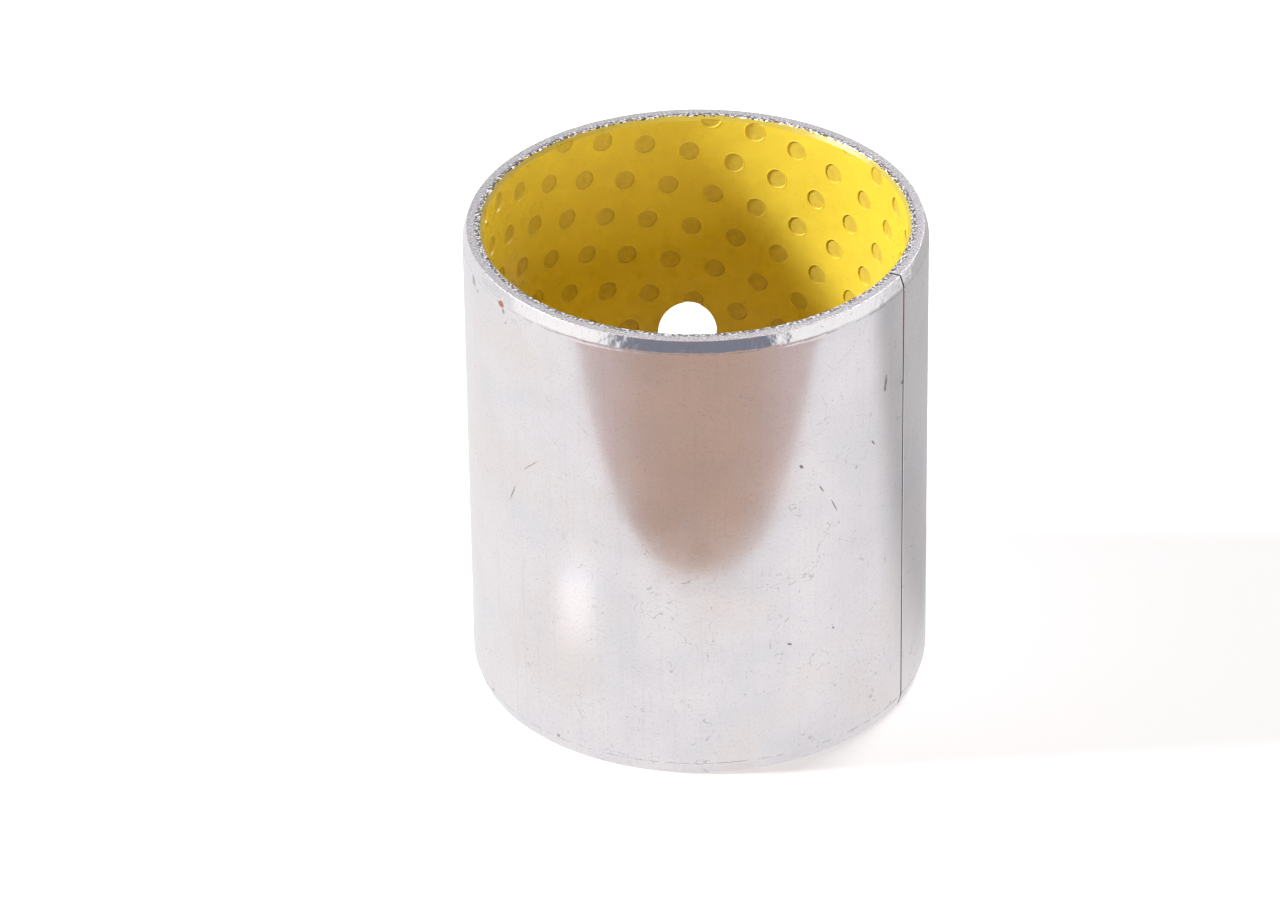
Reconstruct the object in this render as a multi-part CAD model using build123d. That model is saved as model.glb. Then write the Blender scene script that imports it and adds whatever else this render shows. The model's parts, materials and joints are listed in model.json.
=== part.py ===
from build123d import *
import math
import os

# A split plain-bearing bush, rolled from a three-layer strip: tinned steel outside, a thin layer
# of sintered bronze bonded to it, and a lining of acetal with grease pockets that runs on the shaft.
# The bush stands on one end. +Z runs along the bore, the origin is the centre of the lower end face,
# and +Y points at the oil hole. Sizes are in millimetres, and angles in degrees.

# Bore and length, the two sizes that the bush is ordered by
BORE_DIAMETER = 50.0
LENGTH = 60.0

# The strip's layers, from the shaft outwards
LINING_THICKNESS = 0.35
BRONZE_THICKNESS = 0.25
STEEL_THICKNESS = 1.9

# Chamfers turned on both ends after rolling: a long lead-in outside, a short one inside
OUTER_CHAMFER_LENGTH = 1.5
OUTER_CHAMFER_DEPTH = 0.5
INNER_CHAMFER = 0.5

# The butt joint, where the two ends of the strip meet, and the small bevel on its outer corners
SEAM_ANGLE_FROM_HOLE = -121.0
SEAM_GAP = 0.25
SEAM_BEVEL = 0.05

# The oil hole, punched through all three layers at mid-length
OIL_HOLE_DIAMETER = 8.0

# Round grease pockets, pressed into the lining in slanting rows before the strip was rolled.
# A step is an arc along the bore surface and a rise along the axis. The first pocket is placed
# from the oil hole's centre in the same way, and it nicks the rim of the hole. The rows stop short
# of the joint by a narrow land, so no pocket opens into the seam.
POCKET_DIAMETER = 2.5
POCKET_DEPTH = 0.15
FIRST_POCKET = (-0.74, 4.653)
STEP_IN_ROW = (5.40, 1.42)
STEP_BETWEEN_ROWS = (2.63, -4.53)
LAND_BESIDE_SEAM = 0.3

# Worked out from the sizes above
BORE_RADIUS = BORE_DIAMETER / 2
LINING_RADIUS = BORE_RADIUS + LINING_THICKNESS
BRONZE_RADIUS = LINING_RADIUS + BRONZE_THICKNESS
OUTER_RADIUS = BRONZE_RADIUS + STEEL_THICKNESS
OIL_HOLE_HEIGHT = LENGTH / 2
HOLE_DIRECTION = 90.0
SEAM_DIRECTION = HOLE_DIRECTION + SEAM_ANGLE_FROM_HOLE

# Cutting tools reach this far past the surfaces that they cut
CUT_ALLOWANCE = 1.0


def bush_section():
    """Half section of the whole wall on the XZ plane, with the chamfers of both ends."""
    foot = [
        (BORE_RADIUS, INNER_CHAMFER),
        (BORE_RADIUS + INNER_CHAMFER, 0),
        (OUTER_RADIUS - OUTER_CHAMFER_DEPTH, 0),
        (OUTER_RADIUS, OUTER_CHAMFER_LENGTH),
    ]
    head = [(radius, LENGTH - height) for radius, height in reversed(foot)]
    return Plane.XZ * make_face(Polyline(*foot, *head, close=True))


def layer_section(inner_radius, outer_radius):
    """The part of the wall's section that lies in one layer of the strip."""
    width = outer_radius - inner_radius
    band = Pos((inner_radius + outer_radius) / 2, LENGTH / 2) * Rectangle(width, LENGTH)
    return bush_section() & (Plane.XZ * band)


def seam_tool():
    """A full-length slot through the wall, widened by a bevel at the outer surface."""
    inside = BORE_RADIUS - CUT_ALLOWANCE
    outside = OUTER_RADIUS + CUT_ALLOWANCE
    half_gap = SEAM_GAP / 2
    half_mouth = half_gap + SEAM_BEVEL + CUT_ALLOWANCE
    outline = Polyline(
        (inside, -half_gap),
        (OUTER_RADIUS - SEAM_BEVEL, -half_gap),
        (outside, -half_mouth),
        (outside, half_mouth),
        (OUTER_RADIUS - SEAM_BEVEL, half_gap),
        (inside, half_gap),
        close=True,
    )
    slot = extrude(make_face(outline), LENGTH + 2 * CUT_ALLOWANCE)
    return Rot(0, 0, SEAM_DIRECTION) * Pos(0, 0, -CUT_ALLOWANCE) * slot


def radial_plane(direction, height, distance):
    """A plane that faces outwards from the bush's axis, in a given direction."""
    angle = math.radians(direction)
    outwards = (math.cos(angle), math.sin(angle), 0)
    origin = (distance * outwards[0], distance * outwards[1], height)
    return Plane(origin=origin, x_dir=(0, 0, 1), z_dir=outwards)


def radial_cylinder(direction, height, diameter, start, end):
    """A cylinder that points outwards from the axis, between two distances from it."""
    plane = radial_plane(direction, height, start)
    rod = Cylinder(diameter / 2, end - start, align=(Align.CENTER, Align.CENTER, Align.MIN))
    return plane.location * rod


def oil_hole_tool():
    """The punch of the oil hole, square to the wall."""
    start = BORE_RADIUS - 2 * CUT_ALLOWANCE
    end = OUTER_RADIUS + CUT_ALLOWANCE
    return radial_cylinder(HOLE_DIRECTION, OIL_HOLE_HEIGHT, OIL_HOLE_DIAMETER, start, end)


def pocket_places():
    """Direction and height of each pocket, from one end of the strip to the other."""
    joint = math.radians(SEAM_ANGLE_FROM_HOLE) * BORE_RADIUS
    bare_end = SEAM_GAP / 2 + LAND_BESIDE_SEAM + POCKET_DIAMETER / 2
    first_arc = joint + bare_end
    last_arc = joint + 2 * math.pi * BORE_RADIUS - bare_end
    longest_side = max(last_arc - first_arc, LENGTH)
    reach = math.ceil(longest_side / min(math.hypot(*STEP_IN_ROW), math.hypot(*STEP_BETWEEN_ROWS)))
    places = []
    for row in range(-reach, reach + 1):
        for column in range(-reach, reach + 1):
            arc = FIRST_POCKET[0] + column * STEP_IN_ROW[0] + row * STEP_BETWEEN_ROWS[0]
            rise = FIRST_POCKET[1] + column * STEP_IN_ROW[1] + row * STEP_BETWEEN_ROWS[1]
            height = OIL_HOLE_HEIGHT + rise
            on_strip = first_arc < arc < last_arc and 0 < height < LENGTH
            in_oil_hole = math.hypot(arc, rise) < OIL_HOLE_DIAMETER / 2
            if on_strip and not in_oil_hole:
                places.append((HOLE_DIRECTION + math.degrees(arc / BORE_RADIUS), height))
    return places


def pocket_tools():
    """One flat-ended tool for each grease pocket."""
    start = BORE_RADIUS - CUT_ALLOWANCE
    floor = BORE_RADIUS + POCKET_DEPTH
    return [
        radial_cylinder(direction, height, POCKET_DIAMETER, start, floor)
        for direction, height in pocket_places()
    ]


def rolled_layer(inner_radius, outer_radius):
    """One layer of the bush, rolled up from the seam, with the cuts that pass through all layers."""
    ring = Rot(0, 0, SEAM_DIRECTION) * revolve(layer_section(inner_radius, outer_radius), Axis.Z)
    return ring.cut(seam_tool(), oil_hole_tool())


def steel_backing():
    """The load-carrying shell, whose outer surface is pressed into a housing."""
    return rolled_layer(BRONZE_RADIUS, OUTER_RADIUS)


def bronze_interlayer():
    """The sintered layer that keys the lining to the steel and shows as a grainy ring."""
    return rolled_layer(LINING_RADIUS, BRONZE_RADIUS)


def acetal_lining():
    """The running surface, with its grease pockets."""
    return rolled_layer(BORE_RADIUS, LINING_RADIUS).cut(*pocket_tools())


def save(name, shape):
    """Write one piece as a STEP file named after it."""
    solids = shape.solids()
    piece = solids[0] if len(solids) == 1 else Compound(children=solids)
    piece.label = name
    export_step(piece, f"parts/{name}.step")


os.makedirs("parts", exist_ok=True)
save("steel_backing", steel_backing())
save("bronze_interlayer", bronze_interlayer())
save("acetal_lining", acetal_lining())
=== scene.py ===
import json
import math

import bmesh
import bpy
from mathutils import Matrix, Vector


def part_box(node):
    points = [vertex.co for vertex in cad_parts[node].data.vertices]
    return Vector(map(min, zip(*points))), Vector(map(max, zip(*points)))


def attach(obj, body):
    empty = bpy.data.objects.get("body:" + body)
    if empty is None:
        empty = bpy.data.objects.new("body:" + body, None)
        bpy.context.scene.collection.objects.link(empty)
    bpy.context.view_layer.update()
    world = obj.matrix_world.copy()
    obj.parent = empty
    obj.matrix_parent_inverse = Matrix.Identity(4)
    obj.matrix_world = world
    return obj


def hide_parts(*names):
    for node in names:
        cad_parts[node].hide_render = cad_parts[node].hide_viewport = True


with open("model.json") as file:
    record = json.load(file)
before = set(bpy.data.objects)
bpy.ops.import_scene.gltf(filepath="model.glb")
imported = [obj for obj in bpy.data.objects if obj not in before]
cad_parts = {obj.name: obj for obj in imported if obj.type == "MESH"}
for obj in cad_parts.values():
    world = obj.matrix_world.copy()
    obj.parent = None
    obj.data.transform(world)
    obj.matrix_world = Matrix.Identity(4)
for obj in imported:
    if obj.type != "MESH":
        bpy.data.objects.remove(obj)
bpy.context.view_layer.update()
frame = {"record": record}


# The steel back of the bush. It starts as a flat strip of mild steel, tin-plated, is rolled up until
# its two ends meet in a butt seam, and both ends are then chamfered on a lathe. All three layers are
# drawn here as a flat strip (arc along the bore, depth outwards from the bore, height) and rolled.
MM = 0.001
bush_mounts = {mount["name"]: mount for mount in frame["record"]["mounts"]}
bore_radius = bush_mounts["shaft_bore"]["dims"]["r_mm"] * MM
outer_radius = bush_mounts["housing_seat"]["dims"]["r_mm"] * MM
bush_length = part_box("steel_backing")[1].z
hole_radius = bush_mounts["oil_hole"]["dims"]["r_mm"] * MM
hole_height = bush_mounts["oil_hole"]["pos_m"][2]
seam_direction = math.radians(-31)
seam_gap = 0.25 * MM
strip_length = 2 * math.pi * bore_radius - seam_gap
wall = outer_radius - bore_radius
steel_depth = 0.6 * MM
lead_in_length = 1.5 * MM
lead_in_depth = 0.5 * MM
rim_ease = 0.12 * MM
shoulder_ease = 0.25 * MM
seam_bevel = 0.05 * MM
hole_flare = 0.12 * MM
steel_arc_step = 0.36 * MM
steel_height_step = 1.2 * MM
steel_end_step = 0.3 * MM


def wire(tree, kind, sockets=None, **settings):
    """Add a node, set its options, and link or set its inputs, which are given by name or number."""
    made = tree.nodes.new(kind)
    for name, value in settings.items():
        setattr(made, name, value)
    for name, value in (sockets or {}).items():
        if isinstance(value, bpy.types.NodeSocket):
            tree.links.new(value, made.inputs[name])
        else:
            made.inputs[name].default_value = value
    return made


def calc(tree, operation, *values, clamp=False):
    """A math node's result."""
    made = wire(tree, "ShaderNodeMath", dict(enumerate(values)), operation=operation)
    made.use_clamp = clamp
    return made.outputs[0]


def combine(tree, operation, *values):
    """A vector math node's result."""
    made = wire(tree, "ShaderNodeVectorMath", dict(enumerate(values)), operation=operation)
    return made.outputs["Value" if operation in ("DOT_PRODUCT", "DISTANCE", "LENGTH") else "Vector"]


def ramp(tree, value, low, high, start=0.0, end=1.0):
    """Smoothly from start, at low, to end, at high."""
    made = wire(tree, "ShaderNodeMapRange", {"Value": value}, interpolation_type="SMOOTHSTEP")
    for name, number in (("From Min", low), ("From Max", high), ("To Min", start), ("To Max", end)):
        made.inputs[name].default_value = number
    return made.outputs["Result"]


def spaced(start, end, step):
    """Numbers from start to end at about this step, without the last one."""
    count = max(1, round(abs(end - start) / step))
    return [start + (end - start) * index / count for index in range(count)]


def eased_corner(before, corner, after, reach, steps=5):
    """Points of a small curve that rounds off a corner of an outline, reach from it on each side."""
    start = corner + (before - corner).normalized() * reach
    end = corner + (after - corner).normalized() * reach
    points = []
    for index in range(steps + 1):
        share = index / steps
        points.append(start * (1 - share) ** 2 + corner * 2 * share * (1 - share) + end * share**2)
    return points


def strip_mesh(name, outline, arcs):
    """A flat strip: the same closed outline of depth and height at each arc, closed at both ends."""
    form = bmesh.new()
    columns = []
    for arc in arcs:
        bevel = max(0.0, seam_bevel - min(arc - arcs[0], arcs[-1] - arc))
        outer_face = wall - bevel
        columns.append([form.verts.new((arc, min(depth, outer_face), height)) for depth, height in outline])
    around = range(len(outline))
    for here, there in zip(columns, columns[1:]):
        for index in around:
            after = (index + 1) % len(outline)
            form.faces.new((here[index], here[after], there[after], there[index]))
    form.faces.new(columns[0])
    form.faces.new(columns[-1])
    bmesh.ops.recalc_face_normals(form, faces=form.faces)
    mesh = bpy.data.meshes.new(name)
    form.to_mesh(mesh)
    form.free()
    return mesh


def steel_outline():
    """Half the wall's section in steel, with its corners eased, as points of depth and height."""
    foot = Vector((steel_depth, 0))
    rim = Vector((wall - lead_in_depth, 0))
    shoulder = Vector((wall, lead_in_length))
    middle = Vector((wall, bush_length / 2))
    lower = [Vector((depth, 0)) for depth in spaced(foot.x, rim.x - rim_ease, steel_end_step)]
    lower += eased_corner(foot, rim, shoulder, rim_ease)
    lower += [rim.lerp(shoulder, share) for share in (0.2, 0.35, 0.5, 0.65, 0.8)]
    lower += eased_corner(rim, shoulder, middle, shoulder_ease)
    lower += [Vector((wall, height)) for height in spaced(lower[-1].y, middle.y, steel_height_step)[1:]]
    upper = [Vector((point.x, bush_length - point.y)) for point in reversed(lower)]
    return lower + [middle] + upper


def roll_up_tree():
    """Geometry nodes that wear a flat strip's ends a little and roll it up around the bore. A face that
    points along the bore gets the end's material, and one that faces the joint gets the seam's."""
    tree = bpy.data.node_groups.new("roll_up", "GeometryNodeTree")
    face = tree.interface
    face.new_socket("Geometry", in_out="INPUT", socket_type="NodeSocketGeometry")
    for name in ("Bore Radius", "Seam Direction", "Strip Height", "Wear Depth", "Wear Size", "Wear Reach"):
        face.new_socket(name, in_out="INPUT", socket_type="NodeSocketFloat")
    for name in ("Surface", "End Surface", "Seam Surface"):
        face.new_socket(name, in_out="INPUT", socket_type="NodeSocketMaterial")
    face.new_socket("Geometry", in_out="OUTPUT", socket_type="NodeSocketGeometry")
    given = tree.nodes.new("NodeGroupInput").outputs
    place = wire(tree, "ShaderNodeSeparateXYZ", {0: tree.nodes.new("GeometryNodeInputPosition").outputs[0]})
    arc, depth, height = place.outputs
    normal = tree.nodes.new("GeometryNodeInputNormal").outputs[0]
    kept = tree.nodes.new("GeometryNodeCaptureAttribute")
    kept.domain = "FACE"
    kept.capture_items.new("VECTOR", "Flat Normal")
    tree.links.new(given["Geometry"], kept.inputs[0])
    tree.links.new(normal, kept.inputs[1])
    flat_normal = wire(tree, "ShaderNodeSeparateXYZ", {0: kept.outputs[1]}).outputs
    steep_enough = 0.75

    half = calc(tree, "MULTIPLY", given["Strip Height"], 0.5)
    from_end = calc(tree, "SUBTRACT", half, calc(tree, "ABSOLUTE", calc(tree, "SUBTRACT", height, half)))
    near_end = calc(tree, "SUBTRACT", 1.0, calc(tree, "DIVIDE", from_end, given["Wear Reach"]), clamp=True)
    scale = calc(tree, "DIVIDE", 1.0, given["Wear Size"])
    grain = wire(tree, "ShaderNodeTexNoise", {"Scale": scale, "Detail": 3.0, "Roughness": 0.6})
    rough = calc(tree, "POWER", ramp(tree, grain.outputs[0], 0.35, 0.75), 1.5)
    worn = calc(tree, "MULTIPLY", calc(tree, "MULTIPLY", rough, near_end), given["Wear Depth"])
    inwards = combine(tree, "SCALE", normal)
    tree.links.new(calc(tree, "MULTIPLY", worn, -1.0), inwards.node.inputs["Scale"])
    wear = wire(tree, "GeometryNodeSetPosition", {"Geometry": kept.outputs[0], "Offset": inwards})

    share = calc(tree, "DIVIDE", arc, given["Bore Radius"])
    turn = calc(tree, "ADD", share, given["Seam Direction"])
    reach = calc(tree, "ADD", depth, given["Bore Radius"])
    rolled = wire(tree, "ShaderNodeCombineXYZ", {
        "X": calc(tree, "MULTIPLY", reach, calc(tree, "COSINE", turn)),
        "Y": calc(tree, "MULTIPLY", reach, calc(tree, "SINE", turn)),
        "Z": height,
    })
    roll = wire(tree, "GeometryNodeSetPosition", {"Geometry": wear.outputs[0], "Position": rolled.outputs[0]})
    outwards = wire(tree, "GeometryNodeFlipFaces", {"Mesh": roll.outputs[0]})
    real = wire(tree, "GeometryNodeRealizeInstances", {"Geometry": outwards.outputs[0]})
    skin = wire(tree, "GeometryNodeSetMaterial", {"Geometry": real.outputs[0], "Material": given["Surface"]})
    for name, along in (("End Surface", "Z"), ("Seam Surface", "X")):
        turned = calc(tree, "GREATER_THAN", calc(tree, "ABSOLUTE", flat_normal[along]), steep_enough)
        sockets = {"Geometry": skin.outputs[0], "Selection": turned, "Material": given[name]}
        skin = wire(tree, "GeometryNodeSetMaterial", sockets)
    tree.links.new(skin.outputs[0], tree.nodes.new("NodeGroupOutput").inputs[0])
    return tree


def oil_hole_punch(name, radius, length, flare):
    """A closed punch along +Y, flared where it leaves the steel. The strip was flat when its hole was
    punched, and rolling squeezed the hole's inner end, so the punch is narrower towards the bore."""
    outline = [
        (0.0, bore_radius - length),
        (radius, bore_radius - length),
        (radius, outer_radius - 2 * flare),
        (radius + flare, outer_radius + flare),
        (radius + flare, outer_radius + length),
        (0.0, outer_radius + length),
    ]
    form = bmesh.new()
    points = [form.verts.new((across, along, 0)) for across, along in outline]
    edges = [form.edges.new(pair) for pair in zip(points, points[1:])]
    turned = {"angle": 2 * math.pi, "steps": 96, "axis": (0, 1, 0), "cent": (0, 0, 0)}
    bmesh.ops.spin(form, geom=points + edges, use_merge=True, **turned)
    bmesh.ops.remove_doubles(form, verts=form.verts, dist=0.001 * MM)
    bmesh.ops.recalc_face_normals(form, faces=form.faces)
    for point in form.verts:
        point.co.x *= point.co.y / outer_radius
    bmesh.ops.translate(form, verts=form.verts, vec=(0, 0, hole_height))
    mesh = bpy.data.meshes.new(name)
    form.to_mesh(mesh)
    form.free()
    punch = bpy.data.objects.new(name, mesh)
    bpy.context.scene.collection.objects.link(punch)
    return punch


def rolled_layer(name, mesh, sizes, smooth_angle=math.radians(32)):
    """Roll a flat strip up, punch the oil hole through it, and leave a plain mesh at the origin."""
    layer = bpy.data.objects.new(name, mesh)
    bpy.context.scene.collection.objects.link(layer)
    roll = layer.modifiers.new("roll_up", "NODES")
    roll.node_group = roll_up
    for socket in roll_up.interface.items_tree:
        if socket.in_out == "INPUT" and socket.name in sizes:
            roll[socket.identifier] = sizes[socket.name]
    punched = layer.modifiers.new("oil_hole", "BOOLEAN")
    punched.object = punch
    punched.operation = "DIFFERENCE"
    punched.solver = "EXACT"
    finished = bpy.data.meshes.new_from_object(layer.evaluated_get(bpy.context.evaluated_depsgraph_get()))
    layer.modifiers.clear()
    finished.name = name
    layer.data = finished
    finished.shade_smooth()
    finished.set_sharp_from_angle(angle=smooth_angle)
    return layer


def finish_material(name, **numbers):
    """A new material and its tree, shader and the object's own coordinates."""
    material = bpy.data.materials.new(name)
    material.use_nodes = True
    tree = material.node_tree
    shader = tree.nodes["Principled BSDF"]
    for socket, number in numbers.items():
        shader.inputs[socket].default_value = number
    where = tree.nodes.new("ShaderNodeTexCoord").outputs["Object"]
    return material, tree, shader, where


def from_ends(tree, where):
    """How far a point lies from the nearer end of the bush, along its axis."""
    half = bush_length / 2
    height = wire(tree, "ShaderNodeSeparateXYZ", {0: where}).outputs["Z"]
    return calc(tree, "SUBTRACT", half, calc(tree, "ABSOLUTE", calc(tree, "SUBTRACT", height, half)))


def from_axis(tree, where):
    """How far a point lies from the axis of the bush."""
    return combine(tree, "LENGTH", combine(tree, "MULTIPLY", where, (1, 1, 0)))


def mottle(tree, where, size, detail=3.0, stretch=(1, 1, 1), rough=0.5):
    """Cloudy noise with features of about this size, in metres, that may be stretched along an axis."""
    scale = [1 / (size * part) for part in stretch]
    moved = wire(tree, "ShaderNodeMapping", {"Vector": where, "Scale": scale}).outputs[0]
    settings = {"Vector": moved, "Scale": 1.0, "Detail": detail, "Roughness": rough}
    return wire(tree, "ShaderNodeTexNoise", settings).outputs[0]


def tint(tree, factor, first, second):
    """A colour between two, each of which is a colour or a socket."""
    made = wire(tree, "ShaderNodeMix", {0: factor}, data_type="RGBA")
    for index, colour in ((6, first), (7, second)):
        if isinstance(colour, bpy.types.NodeSocket):
            tree.links.new(colour, made.inputs[index])
        else:
            made.inputs[index].default_value = (*colour, 1)
    return made.outputs[2]


def on_shell(direction, height):
    """A point of the outer surface, from its direction in degrees and its height in millimetres."""
    angle = math.radians(direction)
    return Vector((outer_radius * math.cos(angle), outer_radius * math.sin(angle), height * MM))


def mark(tree, where, direction, height, width, length, slant=0.0, ragged=0.6):
    """1 inside a small ragged mark on the outer surface, 0 outside it. Its sizes are in millimetres."""
    place = wire(tree, "ShaderNodeMapping", {"Vector": where}, vector_type="TEXTURE")
    place.inputs["Location"].default_value = on_shell(direction, height)
    place.inputs["Rotation"].default_value = (math.radians(slant), 0, math.radians(direction))
    place.inputs["Scale"].default_value = (3 * MM, width * MM / 2, length * MM / 2)
    rim = calc(tree, "SUBTRACT", mottle(tree, where, width * MM * 0.6), 0.5)
    rim = calc(tree, "MULTIPLY", rim, ragged * 2)
    return ramp(tree, calc(tree, "ADD", combine(tree, "LENGTH", place.outputs[0]), rim), 1.1, 0.7)


# Old marks on the steel: direction in degrees, then height, width and length in millimetres, then slant
# in degrees, and how ragged the mark is
old_marks = [
    (-147.2, 57.6, 0.6, 0.9, 25, 0.6),
    (-163.2, 57.7, 1.1, 1.5, 20, 0.9),
    (-160.8, 56.9, 0.7, 0.5, 0, 0.9),
    (-146.3, 56.2, 0.35, 0.35, 0, 0.6),
    (-39.5, 47.4, 0.55, 2.6, -10, 0.8),
    (-66.7, 41.4, 0.4, 0.7, 40, 0.6),
    (-44.3, 40.6, 0.25, 1.0, 35, 0.6),
    (-57.3, 34.6, 0.16, 2.2, 25, 0.4),
    (-61.0, 37.5, 0.16, 1.3, 30, 0.4),
    (-69.9, 17.1, 0.3, 0.7, 60, 0.6),
    (-57.5, 17.5, 0.3, 0.3, 0, 0.6),
    (-130.7, 1.9, 0.6, 0.4, 0, 0.6),
    (-157.4, 1.9, 0.6, 0.4, 0, 0.6),
    (-145.0, 33.2, 0.25, 3.0, -25, 0.9),
    (-138.0, 38.5, 0.14, 3.6, -48, 0.4),
    (-31.7, 45.8, 0.55, 0.6, 0, 0.5),
]


def hairlines(tree, where, size, width, stretch=(1, 1, 1)):
    """Thin, broken, wandering lines: where cloudy noise passes its middle value."""
    level = calc(tree, "ABSOLUTE", calc(tree, "SUBTRACT", mottle(tree, where, size, 2.0, stretch), 0.5))
    return ramp(tree, level, width, width * 0.4)


def joined(tree, masks):
    """The largest of some masks."""
    whole = masks[0]
    for mask in masks[1:]:
        whole = calc(tree, "MAXIMUM", whole, mask)
    return whole


def tinned_steel():
    """Bright tin plate with clouded tints, fine streaks, hairline scratches, pits and old marks, and with
    the uneven turning of the lathe on its chamfers."""
    material, tree, shader, where = finish_material("tinned_steel")
    from_end = from_ends(tree, where)
    clouds = ramp(tree, mottle(tree, where, 9 * MM), 0.35, 0.65)
    warm = ramp(tree, mottle(tree, where, 14 * MM, detail=2.0), 0.5, 0.7)
    colour = tint(tree, clouds, (0.91, 0.88, 0.895), (0.84, 0.825, 0.85))
    colour = tint(tree, warm, colour, (0.89, 0.84, 0.83))
    speckle = mottle(tree, where, 0.3 * MM, detail=3.0, rough=0.7)
    colour = tint(tree, ramp(tree, speckle, 0.50, 0.72, 0.0, 0.5), colour, (0.68, 0.65, 0.67))
    streaks = mottle(tree, where, 0.6 * MM, stretch=(1, 1, 24), detail=4.0)
    colour = tint(tree, ramp(tree, streaks, 0.5, 0.8, 0.0, 0.35), colour, (0.76, 0.74, 0.75))

    pit_areas = ramp(tree, mottle(tree, where, 6 * MM), 0.52, 0.68)
    pitted = mark(tree, where, -51.5, 8.6, 14, 12, ragged=0.9)
    pits = ramp(tree, mottle(tree, where, 0.4 * MM, detail=2.0), 0.66, 0.74)
    pits = calc(tree, "MULTIPLY", pits, calc(tree, "MAXIMUM", pit_areas, pitted))
    scratched = ramp(tree, mottle(tree, where, 4 * MM), 0.50, 0.60)
    scratches = joined(tree, [
        hairlines(tree, where, 3.5 * MM, 0.010),
        hairlines(tree, where, 6 * MM, 0.006, stretch=(1, 1, 0.35)),
    ])
    broken = ramp(tree, mottle(tree, where, 0.9 * MM), 0.48, 0.56)
    scratches = calc(tree, "MULTIPLY", calc(tree, "MULTIPLY", scratches, scratched), broken)
    worn = calc(tree, "MAXIMUM", calc(tree, "MULTIPLY", pits, 0.35), calc(tree, "MULTIPLY", scratches, 0.3))

    from_line = calc(tree, "ABSOLUTE", calc(tree, "SUBTRACT", from_end, lead_in_length + 0.12 * MM))
    turned_line = ramp(tree, from_line, 0.09 * MM, 0.03 * MM)
    turned_line = calc(tree, "MULTIPLY", turned_line, ramp(tree, mottle(tree, where, 1.8 * MM), 0.42, 0.58))
    rust = mark(tree, where, -148.1, 58.35, 1.3, 1.0, slant=-20)
    dents = joined(tree, [mark(tree, where, *place) for place in old_marks])
    grey = joined(tree, [calc(tree, "MULTIPLY", dents, 0.8), calc(tree, "MULTIPLY", turned_line, 0.55), worn])
    colour = tint(tree, grey, colour, (0.17, 0.155, 0.16))
    colour = tint(tree, rust, colour, (0.27, 0.10, 0.08))
    tree.links.new(colour, shader.inputs["Base Color"])
    dull = calc(tree, "MAXIMUM", rust, calc(tree, "MULTIPLY", grey, 0.7))
    tree.links.new(calc(tree, "SUBTRACT", 1.0, dull), shader.inputs["Metallic"])
    blur = ramp(tree, mottle(tree, where, 5 * MM, detail=4.0), 0.3, 0.7, 0.12, 0.18)
    tree.links.new(calc(tree, "ADD", blur, calc(tree, "MULTIPLY", dull, 0.4)), shader.inputs["Roughness"])

    on_chamfer = ramp(tree, from_end, 2.0 * MM, 1.3 * MM, 0.0, 100.0)
    turning = calc(tree, "MULTIPLY", mottle(tree, where, 1.5 * MM, detail=2.0), on_chamfer)
    relief = calc(tree, "ADD", speckle, calc(tree, "MULTIPLY", streaks, 0.8))
    relief = calc(tree, "SUBTRACT", calc(tree, "ADD", relief, turning), calc(tree, "MULTIPLY", grey, 3.0))
    bump = wire(tree, "ShaderNodeBump", {"Strength": 1.0, "Distance": 0.0012 * MM, "Height": relief})
    tree.links.new(bump.outputs[0], shader.inputs["Normal"])
    return material


def turned_end():
    """The cut end of the strip after the lathe: dull pale grey, finely grained, and torn near the bronze."""
    material, tree, shader, where = finish_material("turned_end", Metallic=1.0)
    grains = mottle(tree, where, 0.24 * MM, detail=4.0, rough=0.7)
    blotches = mottle(tree, where, 0.9 * MM, detail=3.0)
    colour = tint(tree, ramp(tree, grains, 0.38, 0.62), (0.27, 0.255, 0.275), (0.67, 0.65, 0.67))
    colour = tint(tree, ramp(tree, blotches, 0.45, 0.7, 0.0, 0.7), colour, (0.43, 0.40, 0.44))
    reach = calc(tree, "ADD", from_axis(tree, where), calc(tree, "MULTIPLY", blotches, 0.5 * MM))
    ring = ramp(tree, reach, bore_radius + 1.5 * MM, bore_radius + 1.1 * MM)
    specks = mottle(tree, where, 0.4 * MM, detail=2.0)
    torn = calc(tree, "MULTIPLY", ring, ramp(tree, specks, 0.53, 0.47, 0.0, 0.9))
    # painted glints: bright specks on the end face near the bronze
    glint_specks = calc(tree, "MULTIPLY", ring, ramp(tree, specks, 0.56, 0.62, 0.0, 0.8))
    colour = tint(tree, torn, colour, (0.13, 0.115, 0.12))
    colour = tint(tree, glint_specks, colour, (0.90, 0.89, 0.90))
    tree.links.new(colour, shader.inputs["Base Color"])
    tree.links.new(ramp(tree, grains, 0.3, 0.7, 0.58, 0.42), shader.inputs["Roughness"])
    relief = calc(tree, "ADD", grains, calc(tree, "MULTIPLY", blotches, 1.5))
    bump = wire(tree, "ShaderNodeBump", {"Strength": 1.0, "Distance": 0.015 * MM, "Height": relief})
    tree.links.new(bump.outputs[0], shader.inputs["Normal"])
    return material


def sheared_edge():
    """The strip's two ends, which butt together: sheared, and grey with the dirt that has settled there."""
    material, tree, shader, where = finish_material("sheared_edge", Metallic=0.6, Roughness=0.6)
    dirt = mottle(tree, where, 0.5 * MM, detail=4.0)
    colour = tint(tree, ramp(tree, dirt, 0.3, 0.7), (0.05, 0.045, 0.045), (0.14, 0.13, 0.13))
    tree.links.new(colour, shader.inputs["Base Color"])
    return material


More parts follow.
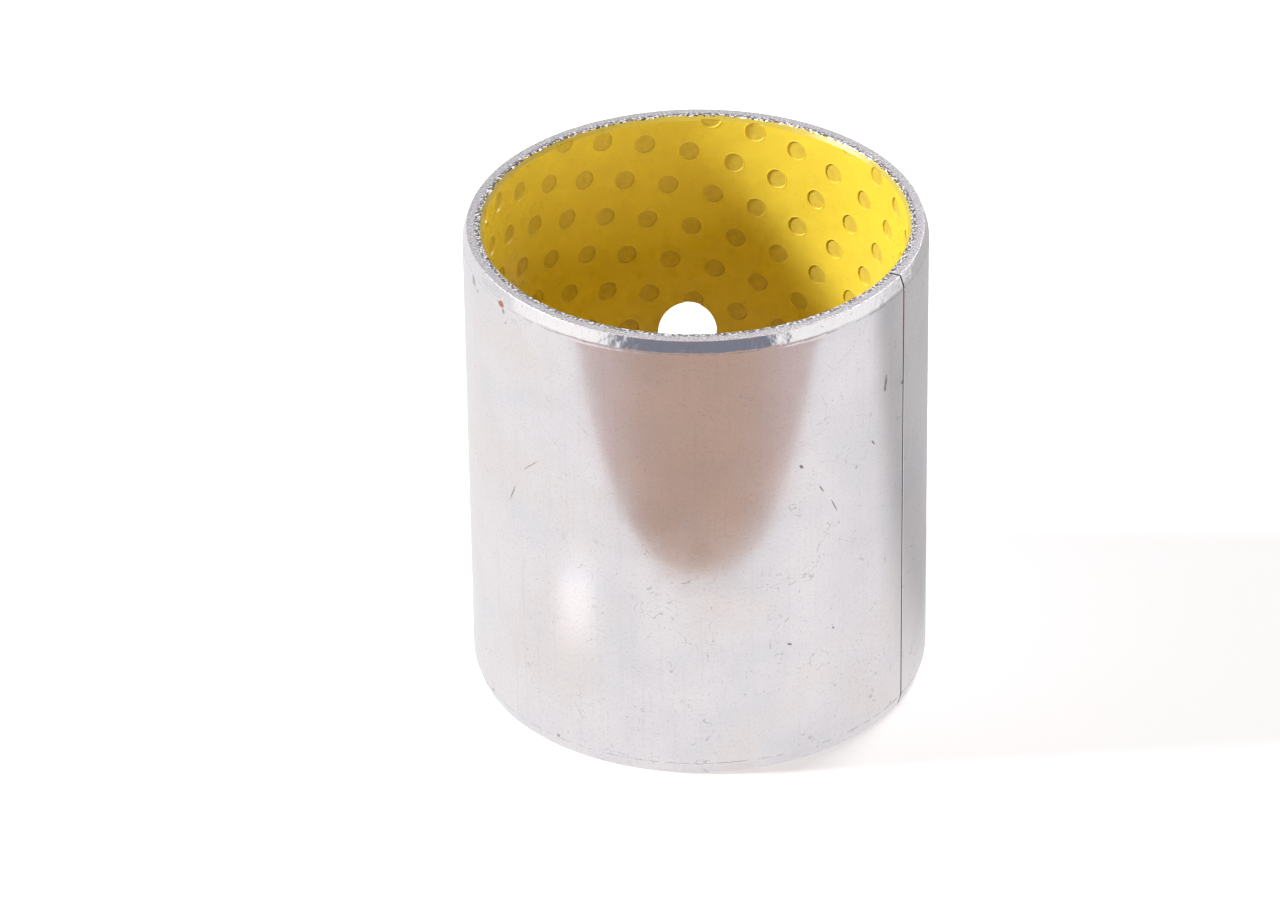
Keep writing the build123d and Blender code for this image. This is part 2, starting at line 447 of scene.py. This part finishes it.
roll_up = roll_up_tree()
punch = oil_hole_punch("oil_hole_punch", hole_radius, 2 * MM, hole_flare)
bevel_arcs = [0.0, 0.02 * MM]
steel_arcs = bevel_arcs + spaced(seam_bevel, strip_length - seam_bevel, steel_arc_step)
steel_arcs += [strip_length - arc for arc in [seam_bevel, *reversed(bevel_arcs)]]
roll_sizes = {
    "Bore Radius": bore_radius,
    "Seam Direction": seam_direction + seam_gap / 2 / bore_radius,
    "Strip Height": bush_length,
}
steel_sizes = {"Wear Depth": 0.03 * MM, "Wear Size": 1.4 * MM, "Wear Reach": 2.0 * MM}
steel_finish = {"Surface": tinned_steel(), "End Surface": turned_end(), "Seam Surface": sheared_edge()}
steel_strip = strip_mesh("steel_shell", steel_outline(), steel_arcs)
steel_shell = rolled_layer("steel_shell", steel_strip, roll_sizes | steel_sizes | steel_finish)
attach(steel_shell, "root")
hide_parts("steel_backing")


# The bronze layer. Bronze powder is sintered on to the steel before the strip is rolled, so its cut edge
# is a thin ring of bright and dark grains between the steel and the lining, at both ends.
bronze_depth = 0.35 * MM
inner_chamfer = 0.5 * MM
grain_size = 0.16 * MM
bronze_arc_step = 0.13 * MM
bronze_end_step = 0.05 * MM


def bronze_outline():
    """The bronze layer's section: a sliver of flat end, then the chamfer, finely divided."""
    low = [Vector((depth, 0)) for depth in spaced(steel_depth, inner_chamfer, bronze_end_step)]
    chamfer = spaced(inner_chamfer, bronze_depth, bronze_end_step)
    low += [Vector((depth, inner_chamfer - depth)) for depth in chamfer]
    low.append(Vector((bronze_depth, inner_chamfer - bronze_depth)))
    return low + [Vector((point.x, bush_length - point.y)) for point in reversed(low)]


def sintered_bronze():
    """Tinned bronze grains: bright tin on their tops, dark pores between them, bare bronze here and there,
    and yellow acetal pressed over the ring's inner side."""
    material, tree, shader, where = finish_material("sintered_bronze", Roughness=0.5)
    grains = mottle(tree, where, 0.32 * MM, detail=3.0)
    patches = mottle(tree, where, 1.6 * MM)
    colour = tint(tree, ramp(tree, grains, 0.49, 0.57), (0.08, 0.07, 0.065), (0.88, 0.87, 0.86))
    colour = tint(tree, ramp(tree, patches, 0.5, 0.7, 0.0, 0.45), colour, (0.50, 0.36, 0.20))
    ragged = calc(tree, "MULTIPLY", mottle(tree, where, 0.45 * MM), 0.7 * MM)
    reach = calc(tree, "ADD", from_axis(tree, where), ragged)
    plastic = ramp(tree, reach, bore_radius + 0.80 * MM, bore_radius + 0.76 * MM)
    colour = tint(tree, plastic, colour, (0.50, 0.38, 0.05))
    tree.links.new(colour, shader.inputs["Base Color"])
    tree.links.new(calc(tree, "SUBTRACT", 1.0, plastic), shader.inputs["Metallic"])
    bump = wire(tree, "ShaderNodeBump", {"Strength": 0.8, "Distance": 0.04 * MM, "Height": grains})
    tree.links.new(bump.outputs[0], shader.inputs["Normal"])
    return material


bronze_finish = sintered_bronze()
bronze_arcs = spaced(0, strip_length, bronze_arc_step) + [strip_length]
bronze_strip = strip_mesh("bronze_ring", bronze_outline(), bronze_arcs)
bronze_sizes = {"Wear Depth": 0.05 * MM, "Wear Size": grain_size, "Wear Reach": 0.6 * MM}
bronze_sizes |= {"Surface": bronze_finish, "End Surface": bronze_finish, "Seam Surface": bronze_finish}
bronze_ring = rolled_layer("bronze_ring", bronze_strip, roll_sizes | bronze_sizes)
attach(bronze_ring, "root")
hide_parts("bronze_interlayer")


# The running surface: yellow acetal, spread over the bronze and pressed with round grease pockets in
# slanting rows while the strip was flat. Each pocket has a flat floor and a low lip of pushed-up plastic.
lining_depth = bronze_depth
pocket_depth = 0.15 * MM
pocket_radius = 1.25 * MM
step_in_row = Vector((5.40, 0, 1.42)) * MM
step_between_rows = Vector((2.63, 0, -4.53)) * MM
first_pocket = Vector((-0.74, 0, 4.36)) * MM
hole_arc = bore_radius * (math.radians(90) - roll_sizes["Seam Direction"])
points_a_side = 6
pocket_rings = [
    (1.11 * pocket_radius, 0.0),
    (1.05 * pocket_radius, -0.035 * MM),
    (1.00 * pocket_radius, -0.015 * MM),
    (0.95 * pocket_radius, pocket_depth),
]


def pocket_cell():
    """One pocket in the middle of its own slanted tile of the strip."""
    form = bmesh.new()
    corners = [(-1, -1), (1, -1), (1, 1), (-1, 1)]
    edge = []
    for (along, up), (next_along, next_up) in zip(corners, corners[1:] + corners[:1]):
        for index in range(points_a_side):
            share = index / points_a_side
            part = (along + (next_along - along) * share) / 2
            rise = (up + (next_up - up) * share) / 2
            edge.append(step_in_row * part + step_between_rows * rise)
    start = math.atan2(edge[0].z, edge[0].x)
    turn = -2 * math.pi / len(edge)
    rings = [[form.verts.new(point) for point in edge]]
    for radius, depth in pocket_rings:
        ring = []
        for index in range(len(edge)):
            angle = start + turn * index
            ring.append(form.verts.new((radius * math.cos(angle), depth, radius * math.sin(angle))))
        rings.append(ring)
    for outer, inner in zip(rings, rings[1:]):
        for index in range(len(edge)):
            after = (index + 1) % len(edge)
            form.faces.new((outer[index], outer[after], inner[after], inner[index]))
    form.faces.new(rings[-1])
    mesh = bpy.data.meshes.new("pocket_cell")
    form.to_mesh(mesh)
    form.free()
    return mesh


def pocket_rows_tree():
    """Geometry nodes that repeat one pocket's tile over the whole strip and join the tiles."""
    tree = bpy.data.node_groups.new("pocket_rows", "GeometryNodeTree")
    face = tree.interface
    face.new_socket("Geometry", in_out="INPUT", socket_type="NodeSocketGeometry")
    for name in ("Step In Row", "Step Between Rows", "First Pocket"):
        face.new_socket(name, in_out="INPUT", socket_type="NodeSocketVector")
    for name in ("Strip Length", "Strip Height", "Margin", "Join Distance"):
        face.new_socket(name, in_out="INPUT", socket_type="NodeSocketFloat")
    face.new_socket("Tiles Each Way", in_out="INPUT", socket_type="NodeSocketInt")
    face.new_socket("Surface", in_out="INPUT", socket_type="NodeSocketMaterial")
    face.new_socket("Geometry", in_out="OUTPUT", socket_type="NodeSocketGeometry")
    given = tree.nodes.new("NodeGroupInput").outputs
    count = calc(tree, "ADD", calc(tree, "MULTIPLY", given["Tiles Each Way"], 2.0), 1.0)
    span = calc(tree, "SUBTRACT", count, 1.0)
    ways = {"Size X": span, "Size Y": span, "Vertices X": count, "Vertices Y": count}
    grid = wire(tree, "GeometryNodeMeshGrid", ways)
    index = wire(tree, "ShaderNodeSeparateXYZ", {0: tree.nodes.new("GeometryNodeInputPosition").outputs[0]})
    along = combine(tree, "SCALE", given["Step In Row"])
    tree.links.new(index.outputs["X"], along.node.inputs["Scale"])
    across = combine(tree, "SCALE", given["Step Between Rows"])
    tree.links.new(index.outputs["Y"], across.node.inputs["Scale"])
    place = combine(tree, "ADD", combine(tree, "ADD", along, across), given["First Pocket"])
    lattice = wire(tree, "GeometryNodeSetPosition", {"Geometry": grid.outputs[0], "Position": place})
    spot = wire(tree, "ShaderNodeSeparateXYZ", {0: tree.nodes.new("GeometryNodeInputPosition").outputs[0]})
    outside = None
    for axis, size in (("X", "Strip Length"), ("Z", "Strip Height")):
        half = calc(tree, "MULTIPLY", given[size], 0.5)
        from_middle = calc(tree, "ABSOLUTE", calc(tree, "SUBTRACT", spot.outputs[axis], half))
        beyond = calc(tree, "SUBTRACT", from_middle, half)
        off = calc(tree, "GREATER_THAN", beyond, given["Margin"])
        outside = off if outside is None else calc(tree, "MAXIMUM", outside, off)
    kept = wire(tree, "GeometryNodeDeleteGeometry", {"Geometry": lattice.outputs[0], "Selection": outside})
    copies = {"Points": kept.outputs[0], "Instance": given["Geometry"]}
    tiles = wire(tree, "GeometryNodeInstanceOnPoints", copies)
    real = wire(tree, "GeometryNodeRealizeInstances", {"Geometry": tiles.outputs[0]})
    near = {"Geometry": real.outputs[0], "Distance": given["Join Distance"]}
    whole = wire(tree, "GeometryNodeMergeByDistance", near)
    skin = wire(tree, "GeometryNodeSetMaterial", {"Geometry": whole.outputs[0], "Material": given["Surface"]})
    tree.links.new(skin.outputs[0], tree.nodes.new("NodeGroupOutput").inputs[0])
    return tree


def pocketed_sheet(finish):
    """The pocketed face of the flat strip, larger than the strip all round."""
    sheet = bpy.data.objects.new("pocketed_sheet", pocket_cell())
    bpy.context.scene.collection.objects.link(sheet)
    rows = pocket_rows_tree()
    press = sheet.modifiers.new("pocket_rows", "NODES")
    press.node_group = rows
    sizes = {
        "Step In Row": step_in_row,
        "Step Between Rows": step_between_rows,
        "First Pocket": first_pocket + Vector((hole_arc, 0, hole_height)),
        "Strip Length": strip_length,
        "Strip Height": bush_length,
        "Margin": 4 * MM,
        "Join Distance": 0.002 * MM,
        "Tiles Each Way": 40,
        "Surface": finish,
    }
    for socket in rows.interface.items_tree:
        if socket.in_out == "INPUT" and socket.name in sizes:
            press[socket.identifier] = sizes[socket.name]
    mesh = bpy.data.meshes.new_from_object(sheet.evaluated_get(bpy.context.evaluated_depsgraph_get()))
    bpy.data.objects.remove(sheet)
    return mesh


def lining_strip(finish):
    """Trim the pocketed face to the strip, chamfer its long edges, and close it at the back."""
    form = bmesh.new()
    form.from_mesh(pocketed_sheet(finish))
    top = bush_length - inner_chamfer
    cuts = [
        ((0, 0, 0), (-1, 0, 0)),
        ((strip_length, 0, 0), (1, 0, 0)),
        ((0, 0, top), (0, -1, 1)),
        ((0, 0, inner_chamfer), (0, -1, -1)),
    ]
    for point, away in cuts:
        geometry = form.verts[:] + form.edges[:] + form.faces[:]
        plane = {"plane_co": point, "plane_no": Vector(away).normalized()}
        bmesh.ops.bisect_plane(form, geom=geometry, dist=0.0005 * MM, clear_outer=True, **plane)
    rim = [edge for edge in form.edges if edge.is_boundary]
    rim_points = {point for edge in rim for point in edge.verts}
    close = 0.002 * MM

    def on_cut(point, cut):
        place, away = cut
        return abs((point.co - Vector(place)).dot(Vector(away).normalized())) < close

    back = []
    for cut, height in ((cuts[2], top + lining_depth), (cuts[3], inner_chamfer - lining_depth)):
        front = sorted((point for point in rim_points if on_cut(point, cut)), key=lambda point: point.co.x)
        behind = [form.verts.new((point.co.x, lining_depth, height)) for point in front]
        for index in range(len(front) - 1):
            form.faces.new((front[index], front[index + 1], behind[index + 1], behind[index]))
        back.append(behind)
    upper, lower = back
    high = low = 0
    while high < len(upper) - 1 or low < len(lower) - 1:
        next_high = upper[high + 1].co.x if high < len(upper) - 1 else math.inf
        next_low = lower[low + 1].co.x if low < len(lower) - 1 else math.inf
        if next_high <= next_low:
            form.faces.new((upper[high], upper[high + 1], lower[low]))
            high += 1
        else:
            form.faces.new((upper[high], lower[low + 1], lower[low]))
            low += 1
    for cut, corner in ((cuts[0], 0), (cuts[1], -1)):
        side = sorted((point for point in rim_points if on_cut(point, cut)), key=lambda point: point.co.z)
        form.faces.new([*side, upper[corner], lower[corner]])
    bmesh.ops.recalc_face_normals(form, faces=form.faces)
    mesh = bpy.data.meshes.new("lining_strip")
    form.to_mesh(mesh)
    form.free()
    return mesh


def yellow_acetal():
    """Semi-gloss yellow acetal, a little uneven, with painted shade and grease on the pocket floors and
    painted shade on the cut edges.
    """
    material, tree, shader, where = finish_material("yellow_acetal")
    floor = ramp(tree, from_axis(tree, where), bore_radius + 0.07 * MM, bore_radius + 0.14 * MM)
    clouds = mottle(tree, where, 6 * MM)
    colour = tint(tree, ramp(tree, clouds, 0.3, 0.7), (0.80, 0.615, 0.06), (0.76, 0.575, 0.06))
    # pocket floors darker: painted shade in the pockets, together with some grease
    grease_and_shade = calc(tree, "MULTIPLY", floor, ramp(tree, mottle(tree, where, 0.7 * MM), 0.3, 0.7, 0.35, 0.6))
    colour = tint(tree, grease_and_shade, colour, (0.47, 0.325, 0.075))
    # painted shade: the chamfer at each end is given a darker yellow
    from_end = calc(tree, "ADD", from_ends(tree, where), calc(tree, "MULTIPLY", clouds, 0.2 * MM))
    edge = ramp(tree, from_end, 0.64 * MM, 0.56 * MM)
    colour = tint(tree, edge, colour, (0.50, 0.38, 0.05))
    tree.links.new(colour, shader.inputs["Base Color"])
    dull = ramp(tree, mottle(tree, where, 2 * MM, detail=4.0), 0.3, 0.7, 0.24, 0.38)
    tree.links.new(dull, shader.inputs["Roughness"])
    relief = mottle(tree, where, 0.9 * MM, detail=3.0)
    bump = wire(tree, "ShaderNodeBump", {"Strength": 0.2, "Distance": 0.01 * MM, "Height": relief})
    tree.links.new(bump.outputs[0], shader.inputs["Normal"])
    return material


lining_finish = yellow_acetal()
lining_sizes = {"Wear Depth": 0.0, "Wear Size": MM, "Wear Reach": MM}
lining_sizes |= {"Surface": lining_finish, "End Surface": lining_finish, "Seam Surface": lining_finish}
lining_sheet = lining_strip(lining_finish)
lining = rolled_layer("pocketed_lining", lining_sheet, roll_sizes | lining_sizes, math.radians(20))
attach(lining, "root")
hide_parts("acetal_lining")
bpy.data.objects.remove(punch)


# The table and the light: the bush stands on a sheet of white paper that ends a hand's width in front of
# it. Beyond the paper is a warm brown table top, and white screens stand around, all mirrored by the steel.
# A lamp on the left lights the bore's right side, and two weaker ones lighten the rest of it.
camera_turn = math.radians(-2.58)
camera_back = 0.7498
camera_height = 0.4982
camera_yaw = math.radians(0.529)
camera_pitch = math.radians(32.069)
camera_roll = math.radians(-0.844)
camera_focus = 7377.0
photo_width = 1280.0
paper_front = 0.071
paper_back = 0.30
paper_side = 0.30
paper_below = 0.01 * MM
lit_spot = Vector((-45.5, -38.4, 0)) * MM

towards_camera = Matrix.Rotation(camera_turn, 4, "Z")


def photo_camera():
    """A long lens, looking down on the bush from in front."""
    lens = bpy.data.cameras.new("photo_camera")
    lens.sensor_width = 36
    lens.lens = camera_focus / photo_width * lens.sensor_width
    lens.clip_start = 0.01
    camera = bpy.data.objects.new("photo_camera", lens)
    bpy.context.scene.collection.objects.link(camera)
    turn = Matrix.Rotation(camera_yaw, 4, "Z")
    tilt = Matrix.Rotation(math.radians(90) - camera_pitch, 4, "X")
    lean = Matrix.Rotation(camera_roll, 4, "Z")
    place = Matrix.Translation((0, -camera_back, camera_height))
    camera.matrix_world = towards_camera @ place @ turn @ tilt @ lean
    bpy.context.scene.camera = camera


def paper_sheet():
    """White paper under the bush. To the camera it is the plain white background, with a faint shadow, and
    the steel mirrors a painted paler pool of light on its left and a painted shaded corner behind on its
    right."""
    form = bmesh.new()
    corners = [
        (-paper_side, -paper_front),
        (paper_side, -paper_front),
        (paper_side, paper_back),
        (-paper_side, paper_back),
    ]
    form.faces.new([form.verts.new(towards_camera @ Vector((x, y, -paper_below))) for x, y in corners])
    mesh = bpy.data.meshes.new("paper_sheet")
    form.to_mesh(mesh)
    form.free()
    paper = bpy.data.objects.new("paper_sheet", mesh)
    bpy.context.scene.collection.objects.link(paper)
    material = bpy.data.materials.new("white_paper")
    material.use_nodes = True
    tree = material.node_tree
    tree.nodes.clear()
    rays = tree.nodes.new("ShaderNodeLightPath").outputs
    grey = tint(tree, rays["Is Glossy Ray"], (0.75, 0.75, 0.75), (0.06, 0.06, 0.06))
    matt = wire(tree, "ShaderNodeBsdfDiffuse", {"Color": grey})
    shown = calc(tree, "MULTIPLY", rays["Is Camera Ray"], 0.45)
    place = tree.nodes.new("ShaderNodeTexCoord").outputs["Object"]
    from_spot = combine(tree, "DISTANCE", place, tuple(towards_camera @ lit_spot))
    # painted light: a paler pool in the paper's glow, seen only in reflections
    painted_light_pool = ramp(tree, from_spot, 16 * MM, 1 * MM, 0.0, 0.24)
    rightwards = combine(tree, "DOT_PRODUCT", place, tuple(towards_camera @ Vector((1, 0, 0))))
    backwards = combine(tree, "DOT_PRODUCT", place, tuple(towards_camera @ Vector((0, 1, 0))))
    # painted shade: the glow is lowered in the corner behind on the right, seen only in reflections
    corner = ramp(tree, backwards, -14 * MM, 14 * MM, 0.0, 0.33)
    corner = calc(tree, "MULTIPLY", ramp(tree, rightwards, 21 * MM, 34 * MM), corner)
    level = calc(tree, "SUBTRACT", calc(tree, "ADD", painted_light_pool, 0.80), corner)
    mirrored = calc(tree, "MULTIPLY", rays["Is Glossy Ray"], level)
    strength = calc(tree, "ADD", shown, mirrored)
    glow = wire(tree, "ShaderNodeEmission", {"Color": (1, 0.984, 0.997, 1), "Strength": strength})
    both = wire(tree, "ShaderNodeAddShader", {0: matt.outputs[0], 1: glow.outputs[0]})
    output = tree.nodes.new("ShaderNodeOutputMaterial")
    tree.links.new(both.outputs[0], output.inputs["Surface"])
    mesh.materials.append(material)


def studio_screens():
    """What surrounds the bush: white to the camera, and to the steel white screens with a dark gap between
    them in front, a brighter ceiling, and the brown table top below."""
    world = bpy.data.worlds.new("studio_screens")
    bpy.context.scene.world = world
    world.use_nodes = True
    tree = world.node_tree
    tree.nodes.clear()
    rays = tree.nodes.new("ShaderNodeLightPath").outputs
    ray = tree.nodes.new("ShaderNodeTexCoord").outputs["Generated"]
    ahead = towards_camera @ Vector((0, -1, 0))
    level = wire(tree, "ShaderNodeSeparateXYZ", {0: ray}).outputs["Z"]
    flat = combine(tree, "NORMALIZE", combine(tree, "MULTIPLY", ray, (1, 1, 0)))
    facing = combine(tree, "DOT_PRODUCT", flat, tuple(ahead))
    gap = ramp(tree, facing, math.cos(math.radians(43)), math.cos(math.radians(33)))
    screens = ramp(tree, facing, math.cos(math.radians(105)), math.cos(math.radians(85)))
    low = ramp(tree, level, 0.55, 0.35)
    ceiling = ramp(tree, level, 0.86, 0.96)
    room = tint(tree, calc(tree, "MULTIPLY", screens, low), (0.80, 0.80, 0.81), (1.05, 1.04, 1.03))
    front = calc(tree, "MULTIPLY", ramp(tree, facing, 0.0, 0.4), ramp(tree, level, 0.40, 0.60))
    room = tint(tree, front, room, (0.90, 0.58, 0.47))
    room = tint(tree, ceiling, room, (1.2, 1.2, 1.2))
    room = tint(tree, calc(tree, "MULTIPLY", gap, low), room, (0.22, 0.235, 0.29))
    wood = tint(tree, ramp(tree, facing, 0.62, 0.995), (0.62, 0.50, 0.48), (0.52, 0.37, 0.30))
    room = tint(tree, ramp(tree, level, -0.16, -0.26), room, wood)
    strength = calc(tree, "ADD", calc(tree, "MULTIPLY", rays["Is Glossy Ray"], 0.82), 0.18)
    lit = wire(tree, "ShaderNodeBackground", {"Color": room, "Strength": strength})
    white = wire(tree, "ShaderNodeBackground", {"Color": (1, 1, 1, 1), "Strength": 1.0})
    sides = {0: rays["Is Camera Ray"], 1: lit.outputs[0], 2: white.outputs[0]}
    shown = wire(tree, "ShaderNodeMixShader", sides)
    output = tree.nodes.new("ShaderNodeOutputWorld")
    tree.links.new(shown.outputs[0], output.inputs["Surface"])


def soft_lamp(name, azimuth, elevation, distance, size, power, colour=(1, 1, 1), mirrored=True):
    """A square soft lamp that looks at the bush, azimuth degrees anticlockwise from the camera's right. Its
    sizes are in metres and its power in watts. The steel mirrors it only where mirrored is set."""
    lamp = bpy.data.lights.new(name, "AREA")
    lamp.size = size
    lamp.energy = power
    lamp.color = colour
    holder = bpy.data.objects.new(name, lamp)
    holder.visible_glossy = mirrored
    bpy.context.scene.collection.objects.link(holder)
    level = distance * math.cos(math.radians(elevation))
    around = math.radians(azimuth)
    rise = distance * math.sin(math.radians(elevation))
    spot = Vector((level * math.cos(around), level * math.sin(around), rise))
    aim = Vector((0, 0, bush_length / 2))
    turned = (-spot).to_track_quat("-Z", "Y").to_matrix().to_4x4()
    holder.matrix_world = towards_camera @ Matrix.Translation(spot + aim) @ turned


photo_camera()
paper_sheet()
studio_screens()
soft_lamp("left_lamp", 181, 34, 0.7, 0.15, 7.9, (0.94, 1.0, 0.94))
soft_lamp("back_right_lamp", 50, 50, 0.8, 0.26, 3.0)
soft_lamp("front_lamp", 292, 13, 0.7, 0.24, 2.4, (1.0, 0.93, 0.9), mirrored=False)
bpy.context.scene.view_settings.view_transform = "Standard"
